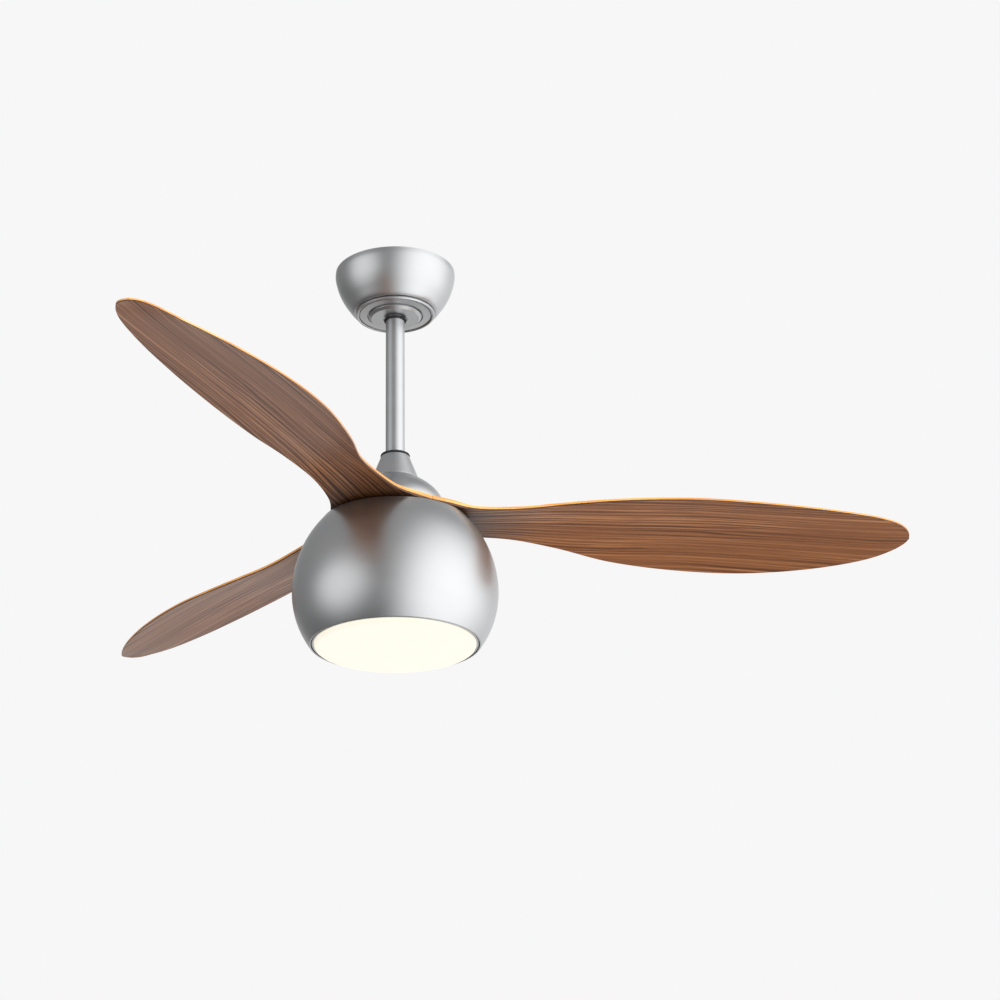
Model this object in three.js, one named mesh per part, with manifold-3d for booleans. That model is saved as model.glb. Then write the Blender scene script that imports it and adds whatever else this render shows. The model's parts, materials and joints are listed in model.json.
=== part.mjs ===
// Ceiling fan with a globe light, in millimetres, +Z up.
// The origin is the centre of the hanger bracket's top face, where it meets the ceiling.
// The fan hangs from there towards -Z.
import * as THREE from 'three';
import { mergeVertices } from 'three/addons/utils/BufferGeometryUtils.js';
import { ParametricGeometry } from 'three/addons/geometries/ParametricGeometry.js';
import Module from 'manifold-3d';

const wasm = await Module();
wasm.setup();

// ---------------------------------------------------------------- driving dimensions
const GAP = 0.3;                    // between pieces that touch
const BLADE_SPAN = 655;             // hub axis to blade tip
const BLADE_COUNT = 3;
const FIRST_BLADE_ANGLE = 5.45;     // degrees from +X
const DECK_Z = -346;                // underside of the blade roots

const PLATE_THICKNESS = 2.5;        // hanger bracket sheet
const PLATE_LENGTH = 116;
const PLATE_WIDTH = 40;
const ARM_X = 31;                   // inner face of each bracket arm
const BALL_Z = -29;                 // centre of the hanger ball
const BALL_R = 24;
const BALL_BORE_R = 13.1;
const CRADLE_R = 24.6;

const CANOPY_RIM_Z = -1.6;
const CANOPY_RIM_R = 77.4;
const CANOPY_FOOT_Z = -57.5;
const CANOPY_FOOT_R = 52.5;
const SHEET = 1.4;                  // canopy, cap and cover wall
const TRIM_HOLE_R = 15.6;

const ROD_R = 12.1;
const ROD_BORE_R = 9.6;
const ROD_TOP_Z = -14;
const ROD_FOOT_Z = DECK_Z + 54.5;
const PIN_R = 3;

const CONE_TOP_Z = DECK_Z + 86;
const CONE_FOOT_Z = DECK_Z + 54;
const CONE_TOP_R = 17.9;
const CONE_FOOT_R = 30;
const CAP_FOOT_Z = DECK_Z + 8.6;
const CAP_FOOT_R = 62;

const SHAFT_R = 8.5;
const SHAFT_BORE_R = 6;
const SHAFT_FOOT_Z = DECK_Z - 80;
const ROTOR_R = 82;
const ROTOR_WALL = 3;
const ROTOR_HEIGHT = 50;
const STATOR_R = 68;
const POLES = 12;

const GLOBE_R = 127;
const GLOBE_MID_Z = DECK_Z - 96;
const GLOBE_UP = 131;               // half-height of the ellipse above the globe's middle
const GLOBE_DOWN = 119;             // and below it
const GLOBE_WALL = 2;
const GLOBE_TOP_Z = DECK_Z - 3.5;
const GLOBE_FOOT_Z = DECK_Z - 163.5;
const GLOBE_MOUTH_R = 103;
const FLANGE_Z = DECK_Z - 64;       // top of the flange that the globe hangs by
const FLANGE_IN_R = 98;

const FACE_Z = DECK_Z - 163;        // face of the ring round the lit dish
const DISH_DROP = 5;                // of the lit dish below that ring
const DIFFUSER_R = 98.9;
const BEZEL_R = 102.2;
const TRAY_Z = DECK_Z - 140;
const TRAY_R = 92;

const ROUND = 28;                   // sides of large, medium and small round pieces
const MEDIUM = 20;
const SMALL = 10;

// ---------------------------------------------------------------- colours
const paint = (color, roughness, metalness) =>
  new THREE.MeshStandardMaterial({ color, roughness, metalness });
const SILVER = paint(0xb4b7b9, 0.38, 0.85);
const STEEL = paint(0x9a9c9e, 0.45, 0.9);
const ZINC = paint(0xc4c6c8, 0.3, 1);
const DARK_STEEL = paint(0x55585c, 0.5, 0.8);
const COPPER = paint(0xb5673a, 0.4, 0.9);
const RUBBER = paint(0x141416, 0.75, 0);
const WOOD = paint(0x7b5540, 0.55, 0);
const OPAL = paint(0xfffdf0, 0.4, 0);
const PLASTIC_WHITE = paint(0xe6e6e2, 0.5, 0);
const PLASTIC_BLACK = paint(0x202225, 0.5, 0);
const BOARD = paint(0xf2f2ee, 0.5, 0.1);

// ---------------------------------------------------------------- solids
const v2 = (x, y) => new THREE.Vector2(x, y);
const v3 = (x, y, z) => new THREE.Vector3(x, y, z);
const radians = THREE.MathUtils.degToRad;

// The same surface with shared vertices and no flat triangles.
function welded(geometry) {
  const bare = geometry.clone();
  bare.deleteAttribute('normal');
  bare.deleteAttribute('uv');
  const merged = mergeVertices(bare, 1e-3);
  const index = [...merged.index.array];
  const kept = [];
  for (let i = 0; i < index.length; i += 3) {
    const [a, b, c] = index.slice(i, i + 3);
    if (a !== b && b !== c && c !== a) kept.push(a, b, c);
  }
  merged.setIndex(kept);
  return merged;
}

function toManifold(geometry) {
  const closed = welded(geometry);
  return new wasm.Manifold(new wasm.Mesh({
    numProp: 3,
    vertProperties: new Float32Array(closed.attributes.position.array),
    triVerts: new Uint32Array(closed.index.array),
  }));
}

function toGeometry(manifold) {
  const mesh = manifold.getMesh();
  const geometry = new THREE.BufferGeometry();
  geometry.setAttribute('position', new THREE.BufferAttribute(mesh.vertProperties, 3));
  geometry.setIndex(new THREE.BufferAttribute(mesh.triVerts, 1));
  geometry.computeVertexNormals();
  return geometry;
}

const joined = (...pieces) => toGeometry(pieces.map(toManifold).reduce((a, b) => a.add(b)));
const cut = (piece, ...tools) =>
  toGeometry(tools.map(toManifold).reduce((a, b) => a.subtract(b), toManifold(piece)));

// A solid of revolution about Z. The outline is a list of [radius, z], closed on itself or on the axis.
function turned(outline, segments = ROUND) {
  const ring = outline.slice();
  const area = ring.reduce((sum, [r, z], i) => {
    const [r2, z2] = ring[(i + 1) % ring.length];
    return sum + r * z2 - r2 * z;
  }, 0);
  if (area < 0) ring.reverse();
  if (ring[0][0] !== 0 || ring[ring.length - 1][0] !== 0) ring.push(ring[0]);
  const geometry = new THREE.LatheGeometry(ring.map(([r, z]) => v2(r, z)), segments);
  return welded(geometry.rotateX(Math.PI / 2));
}

const tube = (inner, outer, low, high, segments) =>
  turned([[inner, low], [outer, low], [outer, high], [inner, high]], segments);

const disc = (radius, low, high, segments) =>
  turned([[0, low], [radius, low], [radius, high], [0, high]], segments);

function block(x, y, z, cx, cy, cz) {
  return new THREE.BoxGeometry(x, y, z).translate(cx, cy, cz);
}

// A round bar between two points.
function bar(radius, from, to, segments = SMALL) {
  const along = to.clone().sub(from);
  const geometry = new THREE.CylinderGeometry(radius, radius, along.length(), segments);
  const turn = new THREE.Quaternion().setFromUnitVectors(v3(0, 1, 0), along.clone().normalize());
  const middle = from.clone().add(to).multiplyScalar(0.5);
  return geometry.applyQuaternion(turn).translate(middle.x, middle.y, middle.z);
}

// A screw with a domed head; the shank points along -Z and the head's seat is at z = 0.
function screw(headR, headH, shankR, length) {
  return turned([
    [0, headH], [headR * 0.6, headH * 0.9], [headR, headH * 0.35], [headR, 0],
    [shankR, 0], [shankR, -length + shankR], [shankR * 0.3, -length], [0, -length],
  ], SMALL);
}

// A round lead that follows points.
function lead(points, radius, steps) {
  const section = new THREE.Shape();
  section.absarc(0, 0, radius, 0, 2 * Math.PI);
  const path = new THREE.CatmullRomCurve3(points, false, 'centripetal');
  return new THREE.ExtrudeGeometry(section, { extrudePath: path, steps, curveSegments: 4 });
}

// Points of an outline wall: the outer points, then the same points moved inwards by the wall, in reverse.
function shellOutline(outer, wall) {
  const inner = outer.map(([r, z], i) => {
    const [r1, z1] = outer[Math.max(i - 1, 0)];
    const [r2, z2] = outer[Math.min(i + 1, outer.length - 1)];
    const normal = v2(z2 - z1, r1 - r2).normalize();
    const inwards = normal.x > 0 ? -1 : 1;
    return [r + inwards * normal.x * wall, z + inwards * normal.y * wall];
  });
  return [...outer, ...inner.reverse()];
}

const polar = (radius, degrees) => [radius * Math.cos(radians(degrees)), radius * Math.sin(radians(degrees))];

// ---------------------------------------------------------------- assembly list
const fan = new THREE.Group();

function add(name, geometry, material, parent = fan) {
  const mesh = new THREE.Mesh(geometry, material);
  mesh.name = name;
  parent.add(mesh);
  return mesh;
}

// ---------------------------------------------------------------- ceiling mount
const CRADLE_TOP_Z = BALL_Z - 8;
const CRADLE_FOOT_Z = BALL_Z - 19.5;
const TAB_X = 37;                   // canopy screw tabs
const SLOT_X = 44.5;                 // ceiling screw slots
const EARTH_Y = 12;
const EARTH_Z = -24;

function hangerBracket() {
  const seatAngle = (z) => Math.asin((BALL_Z - z) / CRADLE_R);
  const seat = [];
  for (let i = 0; i <= 4; i += 1) {
    const angle = THREE.MathUtils.lerp(seatAngle(CRADLE_FOOT_Z), seatAngle(CRADLE_TOP_Z), i / 4);
    seat.push([CRADLE_R * Math.cos(angle), BALL_Z - CRADLE_R * Math.sin(angle)]);
  }
  const cradle = turned([...seat, [ARM_X + 1, CRADLE_TOP_Z], [ARM_X + 1, CRADLE_FOOT_Z]], MEDIUM);
  const height = -CRADLE_FOOT_Z;
  const armX = ARM_X + PLATE_THICKNESS / 2;
  const plate = block(PLATE_LENGTH, PLATE_WIDTH, PLATE_THICKNESS, 0, 0, -PLATE_THICKNESS / 2);
  const sides = [-1, 1].flatMap((side) => [
    block(PLATE_THICKNESS, PLATE_WIDTH - 8, height - 1, side * armX, 0, -(height + 1) / 2),
    block(13, 14, PLATE_THICKNESS, side * (TAB_X + 1.5), 0, CRADLE_FOOT_Z + PLATE_THICKNESS / 2),
  ]);
  const slots = [-1, 1].flatMap((side) => [
    block(9, 5.6, 10, side * SLOT_X, 0, 0),
    bar(2.1, v3(side * TAB_X, 0, CRADLE_FOOT_Z - 5), v3(side * TAB_X, 0, CRADLE_FOOT_Z + 8)),
  ]);
  const wireHole = bar(6, v3(0, -11, -10), v3(0, -11, 5));
  const earthHole = bar(2.2, v3(ARM_X - 3, EARTH_Y, EARTH_Z), v3(ARM_X + 8, EARTH_Y, EARTH_Z));
  return cut(joined(plate, cradle, ...sides), ...slots, wireHole, earthHole);
}

// Outer wall of the canopy from rim to foot: a bowl that closes in quickly near its foot.
function canopyOutline() {
  return [
    [CANOPY_RIM_R, CANOPY_RIM_Z], [76.8, -9], [74.4, -20], [71.1, -30],
    [66.2, -39.5], [60.6, -48], [CANOPY_FOOT_R + 2.5, CANOPY_FOOT_Z + 2], [CANOPY_FOOT_R, CANOPY_FOOT_Z],
  ];
}

function canopy() {
  const outer = canopyOutline();
  const wall = shellOutline(outer, SHEET);
  const innerFoot = wall[outer.length];
  const flangeTop = CANOPY_FOOT_Z + SHEET;
  const flange = [[TAB_X - 8, CANOPY_FOOT_Z], [TAB_X - 8, flangeTop], [innerFoot[0] - 1, flangeTop]];
  const bowl = turned([...outer, ...flange, ...wall.slice(outer.length + 1)]);
  const holes = [-1, 1].map((side) =>
    bar(2.4, v3(side * TAB_X, 0, CANOPY_FOOT_Z - 5), v3(side * TAB_X, 0, CANOPY_FOOT_Z + 5)));
  return cut(bowl, ...holes);
}

// Stepped cover under the canopy: a bead, a flat ring and a raised boss round the rod.
function canopyTrim() {
  const top = CANOPY_FOOT_Z - GAP;
  return turned([
    [TRIM_HOLE_R, top - 6.6], [TRIM_HOLE_R, top - 8.4], [31.5, top - 8.4], [34, top - 6.8], [34.6, top - 2.8],
    [47, top - 2.8], [47.6, top - 1.8], [49.2, top - 2.8], [50.9, top - 1.4], [50.9, top],
    [49.2, top], [33.2, top - 1], [32, top - 6.6],
  ]);
}

function canopyScrews() {
  [-1, 1].forEach((side, i) => {
    const piece = screw(3.6, 0.9, 1.8, 14).rotateX(Math.PI);
    add(`canopy_screw_${i + 1}`, piece.translate(side * TAB_X, 0, CANOPY_FOOT_Z - 0.02), ZINC);
  });
}

const RECEIVER_Y = 26;              // face towards the rod
const PLUG_Z = -11.5;

function ceilingMount() {
  add('hanger_bracket', hangerBracket(), STEEL);
  add('canopy', canopy(), SILVER);
  add('canopy_trim', canopyTrim(), SILVER);
  canopyScrews();
  const lipStart = PLATE_WIDTH / 2 + GAP;
  const lipEnd = RECEIVER_Y + 2;
  const lip = block(40, lipEnd - lipStart, 2, 0, (lipStart + lipEnd) / 2, -5);
  add('remote_receiver', joined(block(66, 20, 22, 0, RECEIVER_Y + 10, -15), lip), PLASTIC_WHITE);
  const plug = cut(
    block(12, 5, 9, 0, RECEIVER_Y - GAP - 2.5, PLUG_Z),
    bar(4, v3(0, RECEIVER_Y - 8, PLUG_Z), v3(0, RECEIVER_Y - 1.6, PLUG_Z)),
  );
  add('receiver_plug', plug, PLASTIC_WHITE);
  add('terminal_block', block(36, 15, 12, -4, -PLATE_WIDTH / 2 - GAP - 7.5, -9), PLASTIC_BLACK);
  const earth = screw(3.4, 2, 1.9, 9).rotateY(Math.PI / 2);
  const armHole = ARM_X + PLATE_THICKNESS + GAP;
  add('earth_screw', earth.translate(armHole, EARTH_Y, EARTH_Z), ZINC);
  const feed = [
    v3(-22 - GAP, -28, -9), v3(-30, -28, -9), v3(-43, -20, -11),
    v3(-46, 0, -13), v3(-45, 24, -15), v3(-40, 34, -16), v3(-33 - GAP, 34, -16),
  ];
  add('supply_lead', lead(feed, 1.8, 18), PLASTIC_BLACK);
}

// ---------------------------------------------------------------- hanger ball
function hangerBall() {
  const outline = [];
  const steps = 6;
  for (let i = 0; i <= steps; i += 1) {
    const angle = THREE.MathUtils.lerp(-Math.asin(19 / BALL_R), Math.asin(11 / BALL_R), i / steps);
    outline.push([BALL_R * Math.cos(angle), BALL_Z + BALL_R * Math.sin(angle)]);
  }
  const top = outline[steps][1];
  const foot = outline[0][1];
  const body = turned([...outline, [BALL_BORE_R, top], [BALL_BORE_R, foot]], MEDIUM);
  return cut(body, bar(PIN_R + 0.35, v3(0, -40, BALL_Z), v3(0, 40, BALL_Z)));
}

// ---------------------------------------------------------------- rod assembly
const LEAD_R = 2.5;
const DRIVER_X = 20;                // near side of the light's driver
const CLEVIS_Z = DECK_Z + 67;
const SET_SCREW_Z = DECK_Z + 60;

function rodAssembly() {
  const pinHoles = [BALL_Z, CLEVIS_Z].map((z) => bar(PIN_R + GAP, v3(0, -30, z), v3(0, 30, z)));
  add('downrod', cut(tube(ROD_BORE_R, ROD_R, ROD_FOOT_Z, ROD_TOP_Z, MEDIUM), ...pinHoles), SILVER);
  const crossPin = bar(PIN_R, v3(0, -19.5, BALL_Z), v3(0, 19.5, BALL_Z));
  add('cross_pin', crossPin, ZINC);
  const collarTop = CANOPY_FOOT_Z - 3;
  add('rod_collar', tube(ROD_R + GAP, ROD_R + 1.1, collarTop - 6.5, collarTop, MEDIUM), SILVER);
  add('rod_ring', turned([
    [ROD_R + GAP, collarTop - 9.3], [14, collarTop - 9.3], [14.6, collarTop - 8.1],
    [14.2, collarTop - 6.8], [ROD_R + GAP, collarTop - 6.8],
  ], MEDIUM), RUBBER);
  yoke();
  motorCore();
  globeAssembly();
  lightPan();
}

function yoke() {
  const foot = DECK_Z + 40;
  const step = ROD_FOOT_Z - GAP;
  const body = turned([
    [SHAFT_R + GAP, foot], [17, foot], [17, foot + 36], [16, foot + 37.5],
    [ROD_R + GAP, foot + 37.5], [ROD_R + GAP, step], [SHAFT_R + GAP, step],
  ], MEDIUM);
  const pinHole = bar(PIN_R + GAP, v3(0, -30, CLEVIS_Z), v3(0, 30, CLEVIS_Z));
  const screwHole = bar(2.4 + GAP, v3(-30, 0, SET_SCREW_Z), v3(30, 0, SET_SCREW_Z));
  add('yoke', cut(body, pinHole, screwHole), STEEL);
  const pin = bar(PIN_R, v3(0, -19, CLEVIS_Z), v3(0, 20.5, CLEVIS_Z));
  const head = bar(4.4, v3(0, 17 + GAP, CLEVIS_Z), v3(0, 19, CLEVIS_Z));
  const cotterHole = bar(1.3, v3(-6, -18, CLEVIS_Z), v3(6, -18, CLEVIS_Z), 8);
  add('clevis_pin', cut(joined(pin, head), cotterHole), ZINC);
  add('cotter_pin', bar(1, v3(-7, -18, CLEVIS_Z), v3(7, -18, CLEVIS_Z), 8), ZINC);
  [-1, 1].forEach((side, i) => {
    const piece = bar(2.4, v3(side * (ROD_R + GAP), 0, SET_SCREW_Z), v3(side * 18.4, 0, SET_SCREW_Z));
    add(`set_screw_${i + 1}`, piece, DARK_STEEL);
  });
}

// Fixed half of the motor: shaft, laminated core and its windings.
function motorCore() {
  add('motor_shaft', tube(SHAFT_BORE_R, SHAFT_R, SHAFT_FOOT_Z, ROD_FOOT_Z - 5, MEDIUM), ZINC);
  const low = DECK_Z - 35;
  const high = DECK_Z - 17;
  add('stator_core', statorCore().translate(0, 0, low), DARK_STEEL);
  const coil = (z) =>
    turned([[36, z], [60, z], [62, z + 2.5], [60, z + 6], [36, z + 6], [34, z + 3]], MEDIUM);
  add('windings_upper', coil(high + GAP), COPPER);
  add('windings_lower', coil(low - GAP - 6), COPPER);
  const beside = PIN_R + LEAD_R + 0.5;
  const leads = [
    v3(0, RECEIVER_Y - 3.5, PLUG_Z), v3(0, 18, PLUG_Z + 0.5), v3(1, 10.5, ROD_TOP_Z + 6),
    v3(3.5, 5.5, ROD_TOP_Z + 5), v3(5.6, 2, ROD_TOP_Z - 1), v3(beside, 0, BALL_Z + 6),
    v3(beside, 0, BALL_Z - 30), v3(beside, 0, CLEVIS_Z + 40), v3(beside, 0, CLEVIS_Z - 5),
    v3(2, 0, ROD_FOOT_Z - 7), v3(0, 0, DECK_Z + 20), v3(0, 0, SHAFT_FOOT_Z + 10),
    v3(0, 0, SHAFT_FOOT_Z - 3), v3(4, 0, SHAFT_FOOT_Z - 13), v3(16, 0, SHAFT_FOOT_Z - 20),
    v3(DRIVER_X - 0.5 - GAP, 0, SHAFT_FOOT_Z - 21),
  ];
  add('motor_leads', lead(leads, LEAD_R, 64), PLASTIC_BLACK);
}

// Stack of laminations: a ring with wide-footed poles round its rim.
function statorCore() {
  const pitch = 360 / POLES;
  const outline = new THREE.Shape();
  for (let i = 0; i < POLES; i += 1) {
    const at = i * pitch;
    [[38, 8.6], [59, 4], [62, 12.6], [STATOR_R, 13], [STATOR_R, -13], [62, -12.6], [59, -4], [38, -8.6]]
      .forEach(([r, offset]) => {
        const [x, y] = polar(r, at - offset);
        if (i === 0 && r === 38 && offset > 0) outline.moveTo(x, y);
        else outline.lineTo(x, y);
      });
  }
  outline.closePath();
  const bore = new THREE.Path();
  bore.absarc(0, 0, SHAFT_R + GAP, 0, 2 * Math.PI, true);
  outline.holes.push(bore);
  return new THREE.ExtrudeGeometry(outline, { depth: 18, bevelEnabled: false, curveSegments: MEDIUM });
}

// ---------------------------------------------------------------- globe
function globeRadius(z) {
  const reach = z > GLOBE_MID_Z ? GLOBE_UP : GLOBE_DOWN;
  return GLOBE_R * Math.sqrt(1 - ((z - GLOBE_MID_Z) / reach) ** 2);
}

function globe() {
  const outer = [[GLOBE_MOUTH_R, GLOBE_FOOT_Z + 0.6], [GLOBE_MOUTH_R + 0.8, GLOBE_FOOT_Z]];
  const low = GLOBE_FOOT_Z + 0.5;
  const high = GLOBE_TOP_Z - 3;
  const steps = 9;
  for (let i = 0; i <= steps; i += 1) {
    const z = THREE.MathUtils.lerp(low, high, i / steps);
    outer.push([globeRadius(z), z]);
  }
  outer.push([91.4, GLOBE_TOP_Z - 0.8], [86, GLOBE_TOP_Z]);
  const inner = [[86, GLOBE_TOP_Z - GLOBE_WALL], [90.4, GLOBE_TOP_Z - GLOBE_WALL - 0.8]];
  const wallAt = (z) => [globeRadius(z) - GLOBE_WALL * 1.15, z];
  inner.push(wallAt(high - 8), wallAt(DECK_Z - 38), wallAt(FLANGE_Z));
  inner.push([FLANGE_IN_R, FLANGE_Z], [FLANGE_IN_R, FLANGE_Z - GLOBE_WALL]);
  [FLANGE_Z - GLOBE_WALL, DECK_Z - 86, DECK_Z - 106, DECK_Z - 128, DECK_Z - 147]
    .forEach((z) => inner.push(wallAt(z)));
  inner.push([GLOBE_MOUTH_R + 2.2, GLOBE_FOOT_Z + 5]);
  const holes = spokes(3, 103, 30).map(([x, y]) =>
    bar(1.9, v3(x, y, FLANGE_Z - 6), v3(x, y, FLANGE_Z + 4), 8));
  return cut(turned([...outer, ...inner]), ...holes);
}

const spokes = (count, radius, first) =>
  Array.from({ length: count }, (_, i) => polar(radius, first + (360 / count) * i));

function plateShape(radius, boreR, windows) {
  const shape = new THREE.Shape();
  shape.absarc(0, 0, radius, 0, 2 * Math.PI);
  const holes = [[0, 0, boreR], ...windows];
  holes.forEach(([x, y, r]) => {
    const hole = new THREE.Path();
    hole.absarc(x, y, r, 0, 2 * Math.PI, true);
    shape.holes.push(hole);
  });
  return shape;
}

const HANGER_TOP_Z = FLANGE_Z - GLOBE_WALL - GAP;
const HANGER_THICKNESS = 2.5;

function globeAssembly() {
  add('globe', globe(), SILVER);
  const windows = spokes(3, 66, 90).map(([x, y]) => [x, y, 22]);
  const screwHoles = spokes(3, 103, 30).map(([x, y]) => [x, y, 1.9]);
  const postHoles = spokes(3, 62, 30).map(([x, y]) => [x, y, 2.3]);
  const plate = new THREE.ExtrudeGeometry(
    plateShape(112, SHAFT_R + GAP, [...windows, ...screwHoles, ...postHoles]),
    { depth: HANGER_THICKNESS, bevelEnabled: false, curveSegments: 8 },
  );
  add('globe_hanger', plate.translate(0, 0, HANGER_TOP_Z - HANGER_THICKNESS), STEEL);
  spokes(3, 103, 30).forEach(([x, y], i) => {
    const piece = screw(3.4, 2, 1.6, 8).rotateX(Math.PI);
    add(`globe_screw_${i + 1}`, piece.translate(x, y, HANGER_TOP_Z - HANGER_THICKNESS - 0.02), ZINC);
  });
  const nutTop = HANGER_TOP_Z - HANGER_THICKNESS - GAP;
  const nut = new THREE.CylinderGeometry(14, 14, 7, 6).rotateX(Math.PI / 2).translate(0, 0, nutTop - 3.5);
  add('shaft_nut', cut(nut, bar(SHAFT_R + GAP, v3(0, 0, nutTop - 12), v3(0, 0, nutTop + 5), MEDIUM)), ZINC);
}

// ---------------------------------------------------------------- light
const LUG_ANGLE = 20;               // degrees of each bayonet lug
const TAB_ANGLE = 12;
const LUG_TOP_Z = TRAY_Z - 7;

// A curved block between two radii, centred on an angle.
function sector(inner, outer, degrees, at, low, high) {
  const shape = new THREE.Shape();
  const half = radians(degrees) / 2;
  const middle = radians(at);
  shape.absarc(0, 0, outer, middle - half, middle + half, false);
  shape.absarc(0, 0, inner, middle + half, middle - half, true);
  const depth = high - low;
  const geometry = new THREE.ExtrudeGeometry(shape, { depth, bevelEnabled: false, curveSegments: 4 });
  return geometry.translate(0, 0, low);
}

function lightPan() {
  const under = HANGER_TOP_Z - HANGER_THICKNESS;
  spokes(3, 62, 30).forEach(([x, y], i) => {
    const post = turned([
      [0, TRAY_Z + GAP], [4, TRAY_Z + GAP], [4, under - GAP],
      [2, under - GAP], [2, under + 6], [0, under + 6],
    ], SMALL);
    add(`light_post_${i + 1}`, post.translate(x, y, 0), ZINC);
  });
  const pan = turned([
    [6, TRAY_Z - 1.5], [TRAY_R - 1.5, TRAY_Z - 1.5], [TRAY_R - 1.5, TRAY_Z - 12], [TRAY_R, TRAY_Z - 12],
    [TRAY_R, TRAY_Z], [6, TRAY_Z],
  ]);
  const lugs = [0, 120, 240].map((at) => sector(TRAY_R - 1, 97, LUG_ANGLE, at, LUG_TOP_Z - 1.8, LUG_TOP_Z));
  add('led_tray', joined(pan, ...lugs), STEEL);
  const boardTop = TRAY_Z - 1.5 - GAP;
  const chips = [[6, 28, 0], [12, 58, 15], [12, 80, 0]].flatMap(([count, radius, first]) =>
    spokes(count, radius, first).map(([x, y]) => block(4, 4, 2.4, x, y, boardTop - 2)));
  add('led_board', joined(disc(87, boardTop - 1.6, boardTop, MEDIUM), ...chips), BOARD);
  add('led_driver', block(28, 64, 24, DRIVER_X + 14, 0, TRAY_Z + GAP + 12), PLASTIC_WHITE);
}

function lightCover() {
  const shelf = FACE_Z + 3.2;
  const ring = turned([
    [DIFFUSER_R + GAP, FACE_Z + 0.4], [100, FACE_Z], [101.8, FACE_Z], [BEZEL_R, FACE_Z + 0.7],
    [BEZEL_R, shelf + 16],
    [100.6, shelf + 16], [100.6, shelf + 1.6], [94, shelf + 1.6], [94, shelf], [DIFFUSER_R + GAP, shelf],
  ]);
  const tabs = [0, 120, 240].map((at) =>
    sector(94, 101.2, TAB_ANGLE, at, LUG_TOP_Z + GAP, LUG_TOP_Z + GAP + 2));
  add('bezel_ring', joined(ring, ...tabs), SILVER);
  const low = FACE_Z - DISH_DROP;
  add('diffuser', turned([
    [0, low], [DIFFUSER_R - 7, low + 0.3], [DIFFUSER_R - 2.4, low + 1.2], [DIFFUSER_R - 0.5, low + 2.8],
    [DIFFUSER_R, low + 5], [DIFFUSER_R, shelf - GAP], [DIFFUSER_R - 2.2, shelf - GAP],
    [DIFFUSER_R - 2.6, low + 4.4], [DIFFUSER_R - 8, low + 2.5], [0, low + 2.2],
  ]), OPAL);
}

// ---------------------------------------------------------------- rotor and blades
function rotor() {
  const top = DECK_Z - GAP;
  const split = DECK_Z - 26;
  const foot = DECK_Z - ROTOR_HEIGHT;
  const boreR = 17.5;
  add('rotor_upper_shell', turned([
    [boreR, top - 14], [boreR + 3, top - 14], [boreR + 4, top - 4], [ROTOR_R - 12, top - 4],
    [ROTOR_R - ROTOR_WALL, top - 10],
    [ROTOR_R - ROTOR_WALL, split], [ROTOR_R, split], [ROTOR_R, top - 8], [ROTOR_R - 8, top], [boreR, top],
  ]), SILVER);
  add('rotor_lower_shell', turned([
    [boreR, foot + 9], [boreR + 3, foot + 9], [boreR + 4, foot + 3.5], [ROTOR_R - 12, foot + 3.5],
    [ROTOR_R - ROTOR_WALL, foot + 9], [ROTOR_R - ROTOR_WALL, split - GAP], [ROTOR_R, split - GAP],
    [ROTOR_R, foot + 7], [ROTOR_R - 8, foot], [boreR, foot],
  ]), SILVER);
  add('magnet_ring', tube(STATOR_R + 2.2, ROTOR_R - ROTOR_WALL - GAP, DECK_Z - 37, DECK_Z - 15), DARK_STEEL);
  add('bearing_upper', tube(SHAFT_R + GAP, boreR - GAP, top - 12, top - 2, MEDIUM), ZINC);
  add('bearing_lower', tube(SHAFT_R + GAP, boreR - GAP, foot + 1, foot + 9, MEDIUM), ZINC);
  for (let i = 0; i < BLADE_COUNT; i += 1) bladeSet(i);
  add('blade_cap', bladeCap(), SILVER);
}

// Flared dome that covers the blade screws.
function bladeCap() {
  const seam = CONE_FOOT_Z - 0.8;
  return turned(shellOutline([
    [CONE_FOOT_R - 1.6, seam], [CONE_FOOT_R + 1.2, seam - 0.4], [40, DECK_Z + 47.2], [49, DECK_Z + 39.8],
    [55.4, DECK_Z + 32.4], [60.4, DECK_Z + 22], [CAP_FOOT_R, CAP_FOOT_Z],
  ], SHEET), 24);
}

// Blade outline, in the blade's own frame: x runs out along the blade, y anticlockwise seen from above,
// and z is the underside's height above the deck. The two edges have their points at the same distances.
const ROOT_RADIUS = 30;
const SEAM_ANGLE = 59.75;           // half of the root's sector, in degrees
const SEAM_RADIUS = 78.6;
const RAISED_EDGE = [
  [62, -58.8, 0], [95, -45, 0.2], [150, -38.4, 4.6], [210, -44.8, 10.4], [280, -55.4, 14.3], [370, -60.4, 16.8],
  [460, -57.4, 15.6], [550, -48.6, 12.8], [613, -36, 10], [641, -22.5, 7], [652, -10.5, 3.4],
];
const LOWERED_EDGE = [
  [62, 57.2, 0], [95, 46.4, -0.4], [150, 44, -2.2], [210, 52.2, -8.6], [280, 73, -16.1], [370, 87.6, -19.6],
  [460, 85.8, -21], [550, 66.6, -18], [613, 41.6, -12], [641, 25, -5.4], [652, 13, -1.4],
];
const TIP = [BLADE_SPAN, 1.5, 1];
const THICKNESS = [[0, 8], [62, 7.6], [95, 5.4], [200, 4.6], [350, 3.8], [500, 3.4], [BLADE_SPAN, 3]];
const CAMBER = 4.5;                 // rise of the middle of a section above its chord
const ROOT_SHARE = 0.14;            // share of the stations that the root takes
const STATIONS = 22;
const ACROSS = 5;

function thicknessAt(x) {
  const within = Math.min(x, BLADE_SPAN);
  const i = Math.max(1, THICKNESS.findIndex(([at]) => at >= within));
  const [[x1, t1], [x2, t2]] = [THICKNESS[i - 1], THICKNESS[i]];
  return THREE.MathUtils.mapLinear(within, x1, x2, t1, t2);
}

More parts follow.
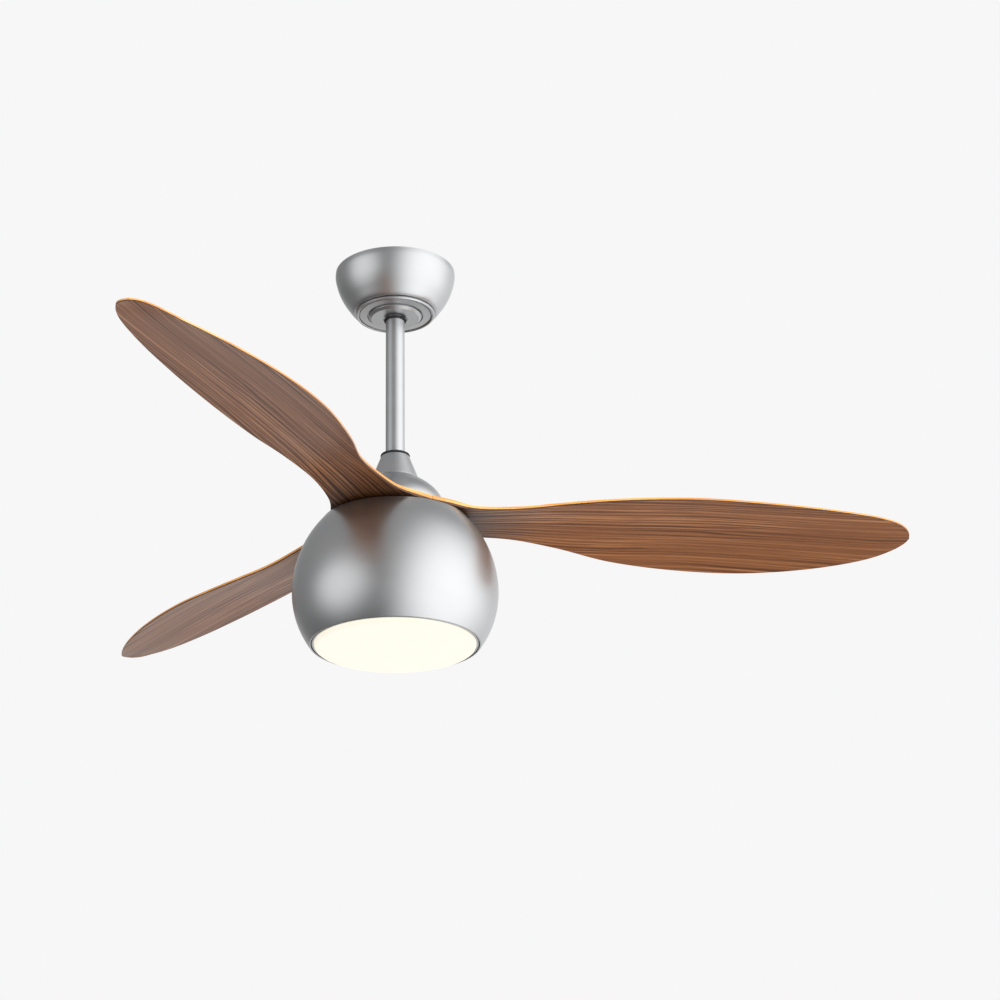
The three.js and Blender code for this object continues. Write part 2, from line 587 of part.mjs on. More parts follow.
function edgeCurve(points, side) {
  const seam = polar(SEAM_RADIUS, side * SEAM_ANGLE);
  const hub = polar(ROOT_RADIUS, side * SEAM_ANGLE);
  const knots = [[...seam, 0], ...points, TIP].map((p) => v3(...p));
  const curve = new THREE.CatmullRomCurve3(knots, false, 'centripetal');
  return (t) => (t < ROOT_SHARE
    ? v3(...hub, 0).lerp(v3(...seam, 0), t / ROOT_SHARE)
    : curve.getPoint((t - ROOT_SHARE) / (1 - ROOT_SHARE)));
}

function bladeGeometry() {
  const raised = edgeCurve(RAISED_EDGE, -1);
  const lowered = edgeCurve(LOWERED_EDGE, 1);
  const loop = 2 * ACROSS + 2;
  // A point of the underside, s of the way across the section at t.
  const under = (t, s) => {
    const point = raised(t).lerp(lowered(t), s);
    const bow = 4 * s * (1 - s);
    const root = Math.max(0, 1 - t / ROOT_SHARE);
    point.x += bow * root * (ROOT_RADIUS - polar(ROOT_RADIUS, SEAM_ANGLE)[0]);
    const swell = Math.sin(Math.PI * THREE.MathUtils.clamp((point.x - 100) / 560, 0, 1));
    point.z += bow * CAMBER * swell;
    return point;
  };
  const shape = (u, v, target) => {
    const i = Math.round((1 - u) * loop) % loop;
    const k = Math.round(v * (STATIONS + 1));
    const onTop = i <= ACROSS;
    const s = onTop ? i / ACROSS : (loop - 1 - i) / ACROSS;
    const point = under(Math.max(k - 1, 0) / STATIONS, s);
    const share = k === 0 ? 0.5 : Number(onTop);
    target.set(point.x, point.y, point.z + share * thicknessAt(point.x));
  };
  return welded(new ParametricGeometry(shape, loop, STATIONS + 1));
}

const SCREW_SPOTS = [[46, -17], [46, 17]];

function bladeSet(i) {
  const holder = new THREE.Group();
  holder.position.z = DECK_Z;
  holder.rotation.z = radians(FIRST_BLADE_ANGLE + (360 / BLADE_COUNT) * i);
  fan.add(holder);
  const holes = SCREW_SPOTS.map(([x, y]) => bar(2.9, v3(x, y, -5), v3(x, y, 15), 8));
  add(`blade_${i + 1}`, cut(bladeGeometry(), ...holes), WOOD, holder);
  SCREW_SPOTS.forEach(([x, y], j) => {
    const piece = screw(4.6, 3, 2.5, 8).translate(x, y, thicknessAt(x) + 0.05);
    add(`blade_screw_${2 * i + j + 1}`, piece, ZINC, holder);
  });
}

// ---------------------------------------------------------------- coupling cover
function couplingCover() {
  add('coupling_cover', turned(shellOutline([
    [CONE_TOP_R, CONE_TOP_Z], [CONE_FOOT_R - 0.6, CONE_FOOT_Z + 1.6], [CONE_FOOT_R - 0.2, CONE_FOOT_Z],
  ], SHEET), MEDIUM), SILVER);
  add('coupling_ring', turned([
    [ROD_R + 0.5, CONE_TOP_Z - 1.6], [CONE_TOP_R - 2, CONE_TOP_Z - 1.6], [CONE_TOP_R - 2, CONE_TOP_Z + GAP],
    [CONE_TOP_R + 0.5, CONE_TOP_Z + GAP], [CONE_TOP_R + 0.3, CONE_TOP_Z + 2.2], [ROD_R + 0.5, CONE_TOP_Z + 3],
  ], MEDIUM), RUBBER);
}

ceilingMount();
add('hanger_ball', hangerBall(), PLASTIC_BLACK);
rodAssembly();
rotor();
couplingCover();
lightCover();

export default fan;
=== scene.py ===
"""Looks of the ceiling fan with a globe light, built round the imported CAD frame.

Blender works in metres in the frame's own axes. Outlines here are in millimetres, as (radius, height).
"""
import json
import math

import bmesh
import bpy
from mathutils import Matrix, Vector


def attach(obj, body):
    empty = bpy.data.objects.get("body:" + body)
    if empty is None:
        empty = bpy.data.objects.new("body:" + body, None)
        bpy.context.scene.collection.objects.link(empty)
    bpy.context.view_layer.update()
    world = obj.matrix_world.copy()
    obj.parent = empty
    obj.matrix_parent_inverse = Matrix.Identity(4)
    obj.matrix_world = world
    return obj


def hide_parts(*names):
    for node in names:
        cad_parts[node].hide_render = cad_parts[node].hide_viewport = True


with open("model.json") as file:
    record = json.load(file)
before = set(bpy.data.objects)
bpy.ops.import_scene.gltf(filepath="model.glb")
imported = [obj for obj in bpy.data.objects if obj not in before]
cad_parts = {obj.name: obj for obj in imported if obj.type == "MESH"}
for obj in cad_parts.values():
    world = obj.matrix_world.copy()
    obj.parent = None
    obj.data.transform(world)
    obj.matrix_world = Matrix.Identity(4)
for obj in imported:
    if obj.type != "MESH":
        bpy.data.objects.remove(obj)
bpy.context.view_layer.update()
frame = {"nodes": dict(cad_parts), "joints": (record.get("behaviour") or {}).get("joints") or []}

MM = 0.001
FAN_SPIN = next(joint for joint in frame["joints"] if joint["name"] == "fan_spin")
DECK = round(FAN_SPIN["pos_m"][2] / MM, 3)      # underside of the blade roots
SHEET = 1.4                                     # canopy, cap and cover wall
MANY_SIDES = 192                                # of the globe and the light cover
SIDES = 144                                     # of the other large round pieces
FEW_SIDES = 72                                  # of the small ones
NEARLY_STRAIGHT = math.radians(163)             # corners more open than this aren't rounded
ON_AXIS = 1e-6                                  # points closer to the axis than this lie on it

# Canopy, rod, coupling and blade cap
CANOPY_RIM = (76.9, -1.6)
CANOPY_FOOT_R, CANOPY_FOOT = 52.5, -57.5
CANOPY_MOUTH_R = 29
TRIM_TOP = -57.8
ROD_R, ROD_BORE_R, ROD_TOP = 12.1, 9.6, -14
ROD_FOOT = DECK + 54.5
COLLAR_R, COLLAR_TOP, COLLAR_FOOT = 13.2, -60.5, -67.0
SLEEVE_BORE_R = 12.4                            # of the collar and of the ring under it
ROD_RING_TOP, ROD_RING_FOOT = -67.3, -69.8
CONE_TOP, CONE_FOOT = DECK + 86, DECK + 54
CONE_RING_BORE_R = 12.6
CAP_SEAM = DECK + 53.2

# Globe, and the light cover that closes it
GLOBE_R, GLOBE_WALL = 127.0, 2.0
GLOBE_MID = DECK - 96
GLOBE_TOP, GLOBE_FOOT = DECK - 3.5, DECK - 163.5
GLOBE_UP, GLOBE_DOWN = 131.0, 119.0             # half heights of the ovals above and below the middle
GLOBE_MOUTH_R = 86                              # of the opening at the top
INNER_WALL_FOOT = DECK - 147
FLANGE_TOP, FLANGE_BORE_R = DECK - 64, 98
FACE = DECK - 163                               # of the ring round the dish
DISH = FACE - 5                                 # lowest point of the lit dish
SHELF, SHELF_R = FACE + 3.2, 94                 # ledge inside the ring that carries the dish
TAB_FOOT, TAB_HEIGHT = DECK - 146.7, 2.0
TAB_ANGLES, TAB_SPAN = (0, 120, 240), 12        # degrees
TAB_RADII = (94.0, 101.2)
TAB_STEPS = 8

# Blades, in each blade's own axes: x runs out along the blade, z is the underside's height above the deck
BLADE_ANGLES = (5.45, 125.45, 245.45)
ROOT_RADIUS, SEAM_RADIUS, SEAM_ANGLE = 30.0, 78.6, math.radians(59.75)
ROOT_SHARE = 0.14                               # of each edge, that runs straight out along the seam
TIP = (654.7, 1.5, 1)
RAISED_EDGE = (
    (62, -58.8, 0), (95, -45, 0.2), (150, -38.4, 4.6), (210, -44.8, 10.4), (280, -55.4, 14.3),
    (370, -60.4, 16.8), (460, -57.4, 15.6), (550, -48.6, 12.8), (613, -36, 10), (640.6, -22.2, 7),
    (651.2, -10.2, 3.4), TIP,
)
LOWERED_EDGE = (
    (62, 57.2, 0), (95, 46.4, -0.4), (150, 44, -2.2), (210, 52.2, -8.6), (280, 73, -16.1),
    (370, 87.6, -19.6), (460, 85.8, -21), (550, 66.6, -18), (613, 41.6, -12), (640.6, 24.6, -5.4),
    (651.2, 12.6, -1.4), TIP,
)
THICKNESS = ((0, 8.0), (62, 7.6), (95, 5.4), (200, 4.6), (350, 3.8), (500, 3.4), (655, 3.0))
CAMBER, CAMBER_START, CAMBER_LENGTH = 4.5, 100, 560
ROOT_STATIONS, SPAN_STATIONS, ACROSS = 12, 130, 20
TIP_CROWDING = 0.12                             # how much closer together the stations are at the tip
WOOD, EDGE, LINE = range(3)
LINE_SHARE = 0.42                               # of the edge's height, from the underside up
BLADE_CORNER, BLADE_CORNER_ANGLE = 0.7, math.radians(60)
BLADE_SHARP = 50.0                              # degrees

# Softened edges of the CAD pieces that stay
CAD_CORNER, CAD_CORNER_ANGLE = 0.25, math.radians(40)
CAD_WELD_M = 1e-5

# Distances from the hub, in metres, between which the painted shade round the hub and the strong grain fade
# out
HUB_SHADE_REACH = (0.085, 0.185)
STRONG_GRAIN_REACH = (0.13, 0.24)

# Camera, measured from the middle of the blade deck, in metres
CAMERA_REACH = 3.0084
CAMERA_RISE = math.radians(21.96)               # it looks up by this much
CAMERA_LENS, CAMERA_SENSOR = 87.1, 36.0         # mm
CAMERA_SHIFT = (0.1048, 0.0209)
CAMERA_END = 100.0

# Studio: what the camera sees behind the fan, and what the fan itself sees round it
BACKDROP = 0.930
SURROUND_LOW = 0.125
SURROUND_HIGH = 0.33
STRIPS = (
    # direction from the fan, squash (below 1 is tall), cosines at the edge and where it is full, brightness
    ((0.906, -0.423, -0.26), 0.80, 0.18, 0.97, 1.46),
    ((-0.883, -0.469, -0.06), 1.2, 0.74, 0.985, 0.98),
    ((0.259, 0.966, 0.0), 0.80, 0.60, 0.97, 0.62),
)
LAMPS = (
    # name, where it stands, width, height, power, spread in degrees
    ("key_lamp", (0.3, -3.2, -2.1), 1.6, 1.2, 20.5, 80),
    ("top_lamp", (0.4, -0.8, 1.9), 2.4, 2.4, 30.0, 180),
)
FLOOR_Z, FLOOR_REACH = -2.6, 9.0


# ------------------------------------------------------------------ curves
def spline(knots, share):
    """Point on the smooth curve through the knots; equal shares lie between each two of them."""
    position = min(max(share, 0.0), 1.0) * (len(knots) - 1)
    i = min(int(position), len(knots) - 2)
    w = position - i
    b, c = knots[i], knots[i + 1]
    a = knots[i - 1] if i else 2 * b - c
    d = knots[i + 2] if i + 2 < len(knots) else 2 * c - b
    ab, bc, cd = (math.sqrt((q - p).length) for p, q in ((a, b), (b, c), (c, d)))
    leave = ((b - a) / ab - (c - a) / (ab + bc) + (c - b) / bc) * bc
    arrive = ((c - b) / bc - (d - b) / (bc + cd) + (d - c) / cd) * bc
    cubic = 2 * (b - c) + leave + arrive
    square = 3 * (c - b) - 2 * leave - arrive
    return b + leave * w + square * w * w + cubic * w ** 3


def swept(points, count):
    """Outline points spread along the smooth curve through the given ones."""
    knots = [Vector(p) for p in points]
    return [spline(knots, k / count) for k in range(count + 1)]


def moved_in(line, wall):
    """The same line, moved towards the axis by the wall."""
    inner = []
    for i, point in enumerate(line):
        along = Vector(line[min(i + 1, len(line) - 1)]) - Vector(line[max(i - 1, 0)])
        normal = Vector((along.y, -along.x)).normalized()
        side = -1.0 if normal.x > 0 else 1.0
        inner.append(Vector(point) + normal * (side * wall))
    return inner


def rounded(outline, radius, steps=4):
    """A closed outline with every real corner turned into an arc."""
    points = [Vector(p) for p in outline]
    made = []
    for i, corner in enumerate(points):
        back = points[i - 1] - corner
        on = points[(i + 1) % len(points)] - corner
        opening = back.angle(on)
        if corner.x < ON_AXIS or opening > NEARLY_STRAIGHT:
            made.append(corner)
            continue
        reach = min(radius / math.tan(opening / 2), 0.45 * back.length, 0.45 * on.length)
        start = corner + back.normalized() * reach
        end = corner + on.normalized() * reach
        for k in range(steps + 1):
            w = k / steps
            made.append(start * (1 - w) ** 2 + corner * (2 * w * (1 - w)) + end * w * w)
    return made


# ------------------------------------------------------------------ pieces
def finished(build, name, sharp=40.0):
    """The object made of a bmesh, shaded smooth except across sharp corners."""
    mesh = bpy.data.meshes.new(name)
    bmesh.ops.recalc_face_normals(build, faces=build.faces)
    for face in build.faces:
        face.smooth = True
    build.to_mesh(mesh)
    build.free()
    mesh.set_sharp_from_angle(angle=math.radians(sharp))
    piece = bpy.data.objects.new(name, mesh)
    bpy.context.scene.collection.objects.link(piece)
    return piece


def turned(name, outline, sides=SIDES):
    """A closed outline turned about the fan's axis."""
    build = bmesh.new()
    rings = []
    for k in range(sides):
        angle = 2 * math.pi * k / sides
        c, s = math.cos(angle) * MM, math.sin(angle) * MM
        rings.append([build.verts.new((p[0] * c, p[0] * s, p[1] * MM)) for p in outline])
    for k, ring in enumerate(rings):
        beside = rings[(k + 1) % sides]
        for j in range(len(outline)):
            after = (j + 1) % len(outline)
            if outline[j][0] > ON_AXIS or outline[after][0] > ON_AXIS:
                build.faces.new((ring[j], beside[j], beside[after], ring[after]))
    bmesh.ops.remove_doubles(build, verts=build.verts, dist=1e-7)
    piece = finished(build, name)
    weighted = piece.modifiers.new("even_normals", "WEIGHTED_NORMAL")
    weighted.keep_sharp = True
    return piece


def place(piece, body, material, slot, *nodes):
    """Gives a piece its finish and its body, and lets it stand for its CAD nodes."""
    if not piece.data.materials:
        piece.data.materials.append(material)
    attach(piece, body)
    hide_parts(*nodes)
    return piece


# ------------------------------------------------------------------ node materials
def node(material, kind, inputs=None, **settings):
    """A shader node, with each input set to a value or linked to another node's output."""
    made = material.node_tree.nodes.new(kind)
    for setting, value in settings.items():
        setattr(made, setting, value)
    for socket, source in (inputs or {}).items():
        if isinstance(source, bpy.types.NodeSocket):
            material.node_tree.links.new(source, made.inputs[socket])
        else:
            made.inputs[socket].default_value = source
    return made


def principled(name, values):
    """A material whose shader has the given values set on its own sockets."""
    material = bpy.data.materials.new(name)
    material.use_nodes = True
    shader = material.node_tree.nodes["Principled BSDF"]
    for socket, value in values.items():
        shader.inputs[socket].default_value = value
    return material


def drive(material, socket, source):
    """Links a node's output to one of the shader's sockets."""
    shader = material.node_tree.nodes["Principled BSDF"]
    material.node_tree.links.new(source, shader.inputs[socket])


def noise(material, scale, detail=3.0, roughness=0.55, distortion=0.0, grain=False):
    """Noise in the object's own coordinates, or a blade's, with so many cells a metre along each axis."""
    if grain:
        own = node(material, "ShaderNodeAttribute", attribute_name="grain").outputs["Vector"]
    else:
        own = node(material, "ShaderNodeTexCoord").outputs["Object"]
    scaled = node(material, "ShaderNodeMapping", {"Vector": own, "Scale": scale}).outputs["Vector"]
    values = {
        "Vector": scaled, "Scale": 1.0, "Detail": detail,
        "Roughness": roughness, "Distortion": distortion,
    }
    return node(material, "ShaderNodeTexNoise", values).outputs["Fac"]


def graded(material, factor, stops):
    """A colour for each value of factor; stops are (value, colour)."""
    made = node(material, "ShaderNodeValToRGB", {"Fac": factor})
    elements = made.color_ramp.elements
    while len(elements) < len(stops):
        elements.new(0.5)
    for element, (at, colour) in zip(elements, stops):
        element.position = at
        element.color = (*colour, 1.0)
    return made.outputs["Color"]


def between(material, factor, low, high, start=0.3, end=0.7):
    """A number from low to high as factor goes from start to end."""
    values = {"Value": factor, "From Min": start, "From Max": end, "To Min": low, "To Max": high}
    return node(material, "ShaderNodeMapRange", values).outputs["Result"]


def maths(material, operation, a, b):
    """The result of one sum on two numbers or outputs."""
    return node(material, "ShaderNodeMath", {0: a, 1: b}, operation=operation).outputs["Value"]


def weighted(material, a, share_a, b, share_b):
    """The two outputs added up, each in its own share."""
    part_a = maths(material, "MULTIPLY", a, share_a)
    return maths(material, "ADD", part_a, maths(material, "MULTIPLY", b, share_b))


def bumped(material, height, strength, distance):
    """Relief on the surface; distance is its depth in metres."""
    values = {"Height": height, "Strength": strength, "Distance": distance}
    drive(material, "Normal", node(material, "ShaderNodeBump", values).outputs["Normal"])


def silver_paint():
    """Satin silver paint: fine metal flake under a clear coat, a little uneven from spraying."""
    made = principled("silver_paint", {
        "Metallic": 1.0, "Coat Weight": 0.15, "Coat Roughness": 0.3, "Specular IOR Level": 0.5,
    })
    flake = noise(made, (2600.0, 2600.0, 2600.0), 1.0)
    cloud = noise(made, (14.0, 14.0, 30.0), 3.0)
    drive(made, "Base Color", graded(made, cloud, (
        (0.30, (0.612, 0.622, 0.632)), (0.70, (0.648, 0.656, 0.664)),
    )))
    speckle = between(made, flake, -0.035, 0.035)
    drive(made, "Roughness", maths(made, "ADD", between(made, cloud, 0.37, 0.41), speckle))
    bumped(made, flake, 0.06, 0.00015)
    return made


def wood_blade():
    """Brown veneer with fine grain along the blade, under a satin lacquer, with painted shade darkening it
    near the hub.
    """
    made = principled("wood_blade", {
        "Specular IOR Level": 0.55, "Coat Weight": 0.12, "Coat Roughness": 0.30,
    })
    own = node(made, "ShaderNodeAttribute", attribute_name="grain").outputs["Vector"]
    drawn = node(made, "ShaderNodeMapping", {"Vector": own, "Scale": (2.2, 54.0, 0.0)})
    lines = node(made, "ShaderNodeTexWave", {
        "Vector": drawn.outputs["Vector"], "Scale": 1.0,
        "Distortion": 9.0, "Detail": 3.0, "Detail Scale": 1.4,
    }, bands_direction="Y").outputs["Fac"]
    fibres = noise(made, (1.6, 230.0, 30.0), 2.0, 0.50, grain=True)
    bands = noise(made, (1.1, 34.0, 12.0), 2.0, 0.5, 0.25, grain=True)
    pores = noise(made, (34.0, 1150.0, 200.0), 1.0, grain=True)
    streaks = weighted(made, fibres, 0.7, bands, 0.3)
    patches = between(made, noise(made, (4.0, 16.0, 8.0), 1.0, grain=True), 0.05, 0.30, 0.38, 0.60)
    from_hub = node(made, "ShaderNodeVectorMath", {0: own}, operation="LENGTH").outputs["Value"]
    depth = maths(made, "ADD", patches, between(made, from_hub, 0.34, 0.0, *STRONG_GRAIN_REACH))
    waved = maths(made, "MULTIPLY", maths(made, "SUBTRACT", lines, 0.5), depth)
    mixed = maths(made, "ADD", waved, streaks)
    colour = graded(made, mixed, (
        (0.28, (0.100, 0.031, 0.009)), (0.43, (0.205, 0.070, 0.021)),
        (0.56, (0.285, 0.104, 0.034)), (0.72, (0.420, 0.178, 0.068)),
    ))
    # painted shade: the wood is drawn darker near the hub, standing in for the globe's shadow on the blade
    # roots
    painted_hub_shade = between(made, from_hub, 0.16, 1.0, *HUB_SHADE_REACH)
    # darker pores, times the painted shade near the hub
    dark = maths(made, "MULTIPLY", between(made, pores, 0.72, 1.0, 0.30, 0.42), painted_hub_shade)
    shaded = node(made, "ShaderNodeVectorMath", {0: colour, "Scale": dark}, operation="SCALE")
    drive(made, "Base Color", shaded.outputs["Vector"])
    drive(made, "Roughness", between(made, mixed, 0.50, 0.38))
    bumped(made, mixed, 0.30, 0.0003)
    return made


def amber_edge():
    """Pale amber wood of the upper part of the blade's edge, lacquered, with thin layers along it."""
    made = principled("amber_edge", {
        "Specular IOR Level": 0.5, "Coat Weight": 0.3, "Coat Roughness": 0.25,
    })
    layers = noise(made, (5.0, 60.0, 620.0), 3.0, grain=True)
    streaks = noise(made, (3.0, 16.0, 60.0), 2.0, grain=True)
    mixed = weighted(made, layers, 0.6, streaks, 0.4)
    drive(made, "Base Color", graded(made, mixed, (
        (0.36, (0.56, 0.20, 0.035)), (0.50, (0.80, 0.34, 0.070)), (0.64, (0.94, 0.50, 0.150)),
    )))
    drive(made, "Roughness", between(made, layers, 0.34, 0.46))
    bumped(made, layers, 0.15, 0.0002)
    return made


def edge_line():
    """Dark brown along the lower part of the blade's edge."""
    made = principled("edge_line", {
        "Specular IOR Level": 0.5, "Coat Weight": 0.2, "Coat Roughness": 0.25,
    })
    streaks = noise(made, (9.0, 140.0, 140.0), 3.0, grain=True)
    drive(made, "Base Color", graded(made, streaks, (
        (0.35, (0.045, 0.014, 0.005)), (0.65, (0.120, 0.042, 0.014)),
    )))
    drive(made, "Roughness", between(made, streaks, 0.36, 0.50))
    return made


def opal_diffuser():
    """Opal acrylic lit from behind by a ring of warm white lamps."""
    made = principled("opal_diffuser", {
        "Base Color": (0.12, 0.12, 0.11, 1.0), "Roughness": 0.42, "Emission Strength": 0.88,
    })
    own = node(made, "ShaderNodeTexCoord").outputs["Object"]
    flat = node(made, "ShaderNodeVectorMath", {0: own, 1: (1.0, 1.0, 0.0)}, operation="MULTIPLY")
    length = node(made, "ShaderNodeVectorMath", {0: flat.outputs["Vector"]}, operation="LENGTH")
    haze = noise(made, (60.0, 60.0, 60.0), 2.0)
    radius = maths(made, "ADD", length.outputs["Value"], between(made, haze, -0.002, 0.002))
    drive(made, "Emission Color", graded(made, between(made, radius, 0.0, 1.0, 0.0, 0.1), (
        (0.0, (1.0, 0.945, 0.82)), (0.94, (1.0, 0.945, 0.82)), (1.0, (1.0, 0.92, 0.76)),
    )))
    drive(made, "Roughness", between(made, haze, 0.38, 0.46))
    return made


def sheet_steel():
    """Galvanised sheet with a soft spangle."""
    made = principled("steel_sheet", {"Metallic": 1.0})
    own = node(made, "ShaderNodeTexCoord").outputs["Object"]
    cells = node(made, "ShaderNodeTexVoronoi", {"Vector": own, "Scale": 210.0, "Randomness": 1.0})
    level = node(made, "ShaderNodeSeparateColor", {"Color": cells.outputs["Color"]}).outputs["Red"]
    drive(made, "Base Color", graded(made, level, (
        (0.0, (0.40, 0.41, 0.42)), (0.5, (0.53, 0.54, 0.55)), (1.0, (0.64, 0.65, 0.66)),
    )))
    drive(made, "Roughness", between(made, level, 0.34, 0.52, 0.0, 1.0))
    bumped(made, noise(made, (500.0, 500.0, 500.0)), 0.12, 0.0002)
    return made


def zinc_plate():
    """Bright zinc plate with fine turning marks."""
    made = principled("zinc_hardware", {"Metallic": 1.0})
    marks = noise(made, (120.0, 120.0, 2400.0), 2.0)
    drive(made, "Base Color", graded(made, noise(made, (160.0, 160.0, 160.0)), (
        (0.35, (0.60, 0.61, 0.62)), (0.65, (0.76, 0.76, 0.74)),
    )))
    drive(made, "Roughness", between(made, marks, 0.22, 0.38))
    bumped(made, marks, 0.15, 0.0001)
    return made


def dark_oxide():
    """Dark oxide on steel, with the lines of thin laminations."""
    made = principled("dark_steel", {"Metallic": 1.0})
    layers = noise(made, (8.0, 8.0, 1800.0), 1.0)
    patches = noise(made, (90.0, 90.0, 90.0), 3.0)
    drive(made, "Base Color", graded(made, patches, (
        (0.35, (0.060, 0.064, 0.070)), (0.65, (0.115, 0.118, 0.125)),
    )))
    drive(made, "Roughness", between(made, patches, 0.42, 0.62))
    bumped(made, layers, 0.4, 0.0003)
    return made


def enamelled_copper():
    """Enamelled copper wire wound round and round."""
    made = principled("copper_winding", {"Metallic": 1.0, "Coat Weight": 0.5, "Coat Roughness": 0.15})
    turns = noise(made, (26.0, 26.0, 900.0), 2.0)
    drive(made, "Base Color", graded(made, turns, (
        (0.30, (0.34, 0.12, 0.045)), (0.70, (0.72, 0.33, 0.14)),
    )))
    drive(made, "Roughness", between(made, turns, 0.25, 0.45))
    bumped(made, turns, 0.6, 0.0006)
    return made


def soft_rubber():
    """Matt black rubber, dusty on its high spots."""
    made = principled("black_rubber", {"Specular IOR Level": 0.4})
    grain = noise(made, (1500.0, 1500.0, 1500.0), 3.0)
    drive(made, "Base Color", graded(made, noise(made, (200.0, 200.0, 200.0)), (
        (0.35, (0.010, 0.010, 0.011)), (0.65, (0.024, 0.024, 0.025)),
    )))
    drive(made, "Roughness", between(made, grain, 0.58, 0.78))
    bumped(made, grain, 0.25, 0.0002)
    return made


def moulded(name, low, high, gloss):
    """Moulded plastic with a fine spark-eroded texture."""
    made = principled(name, {"Specular IOR Level": 0.5})
    grain = noise(made, (1800.0, 1800.0, 1800.0), 2.0)
    shade = noise(made, (40.0, 40.0, 40.0), 2.0)
    drive(made, "Base Color", graded(made, shade, ((0.35, low), (0.65, high))))
    drive(made, "Roughness", between(made, grain, gloss - 0.06, gloss + 0.08))
    bumped(made, grain, 0.2, 0.0001)
    return made


def all_materials():
    """Every finish, by the record's name for its slot."""
    return {
        "silver_paint": silver_paint(),
        "steel_sheet": sheet_steel(),
        "zinc_hardware": zinc_plate(),
        "dark_steel": dark_oxide(),
        "copper_winding": enamelled_copper(),
        "black_rubber": soft_rubber(),
        "wood_blade": wood_blade(),
        "opal_diffuser": opal_diffuser(),
        "white_plastic": moulded("white_plastic", (0.68, 0.68, 0.66), (0.78, 0.78, 0.75), 0.46),
        "black_plastic": moulded("black_plastic", (0.012, 0.012, 0.014), (0.026, 0.026, 0.029), 0.42),
        "led_board": moulded("led_board", (0.80, 0.80, 0.77), (0.88, 0.88, 0.85), 0.36),
    }


FINISHES = all_materials()


# ------------------------------------------------------------------ canopy
def canopy():
    """Spun bowl that covers the ceiling bracket, with a flange turned in at its foot."""
    bowl = swept([
        CANOPY_RIM, (77.0, -9), (74.6, -20), (71.1, -30), (66.2, -39.5), (60.6, -48),
        (CANOPY_FOOT_R + 2.5, CANOPY_FOOT + 2), (CANOPY_FOOT_R, CANOPY_FOOT),
    ], 56)
    wall = moved_in(bowl, SHEET)
    flange_top = CANOPY_FOOT + SHEET
    flange = [(CANOPY_MOUTH_R, CANOPY_FOOT), (CANOPY_MOUTH_R, flange_top), (wall[-1].x - 1, flange_top)]
    outline = [*bowl, *flange, *reversed(wall[:-2])]
    return turned("canopy_bowl", rounded(outline, 0.6))


def canopy_trim():
    """Stepped cover under the canopy: a bead, a flat ring and a raised boss."""
    top = TRIM_TOP
    outline = [
        (15.6, top - 7.0), (15.6, top - 8.4), (30.6, top - 8.4), (33.8, top - 5.6), (34.2, top - 1.2),
        (35.6, top - 1.2), (36.0, top - 4.0), (45.4, top - 3.2), (45.8, top - 0.9), (46.9, top - 0.9),
        (47.1, top - 3.4), (48.4, top - 4.3), (49.9, top - 3.9), (50.9, top - 2.6), (50.4, top - 0.6),
        (49.0, top), (33.2, top), (32.4, top - 6.4), (29.9, top - 7.0),
    ]
    return turned("canopy_stepped_trim", rounded(outline, 0.4, 5))


def rod_pieces():
    """The hanging rod with the collar and rubber ring where it enters the canopy."""
    rod = turned("hanging_rod", rounded([
        (ROD_BORE_R, ROD_FOOT), (ROD_R, ROD_FOOT), (ROD_R, ROD_TOP), (ROD_BORE_R, ROD_TOP),
    ], 0.5), FEW_SIDES)
    collar = turned("rod_sleeve", rounded([
        (SLEEVE_BORE_R, COLLAR_FOOT), (COLLAR_R, COLLAR_FOOT),
        (COLLAR_R, COLLAR_TOP), (SLEEVE_BORE_R, COLLAR_TOP),
    ], 0.3), FEW_SIDES)
    ring = turned("rod_rubber_ring", rounded([
        (SLEEVE_BORE_R, ROD_RING_FOOT), (14.0, ROD_RING_FOOT), (14.6, ROD_RING_FOOT + 1.2),
        (14.2, ROD_RING_TOP), (SLEEVE_BORE_R, ROD_RING_TOP),
    ], 0.6), FEW_SIDES)
    return rod, collar, ring


def coupling_pieces():
    """Cone over the rod's coupling, with a rubber ring in its mouth."""
    cone = [(17.9, CONE_TOP), (29.4, CONE_FOOT + 1.6), (29.8, CONE_FOOT)]
    wall = moved_in(cone, SHEET)
    cover = turned("coupling_cone", rounded([*cone, *reversed(wall)], 0.5))
    ring = turned("coupling_rubber_ring", rounded([
        (CONE_RING_BORE_R, CONE_TOP - 1.6), (15.9, CONE_TOP - 1.6), (15.9, CONE_TOP + 0.3),
        (18.4, CONE_TOP + 0.3), (18.6, CONE_TOP + 1.6), (18.0, CONE_TOP + 3.0),
        (CONE_RING_BORE_R, CONE_TOP + 3.0),
    ], 0.9), FEW_SIDES)
    return cover, ring


def blade_cap():
    """Flared dome over the blade roots."""
    dome = swept([
        (31.2, CAP_SEAM - 0.4), (40, DECK + 47.2), (49, DECK + 39.8),
        (55.4, DECK + 32.4), (60.4, DECK + 22), (62, DECK + 8.6),
    ], 40)
    line = [Vector((28.4, CAP_SEAM)), *dome]
    return turned("blade_root_dome", rounded([*line, *reversed(moved_in(line, SHEET))], 0.5))


# ------------------------------------------------------------------ globe
def globe_radius(height):
    """Outer radius at a height; the globe is half of one oval set on half of another."""
    reach = GLOBE_UP if height > GLOBE_MID else GLOBE_DOWN
    return GLOBE_R * math.sqrt(1 - ((height - GLOBE_MID) / reach) ** 2)


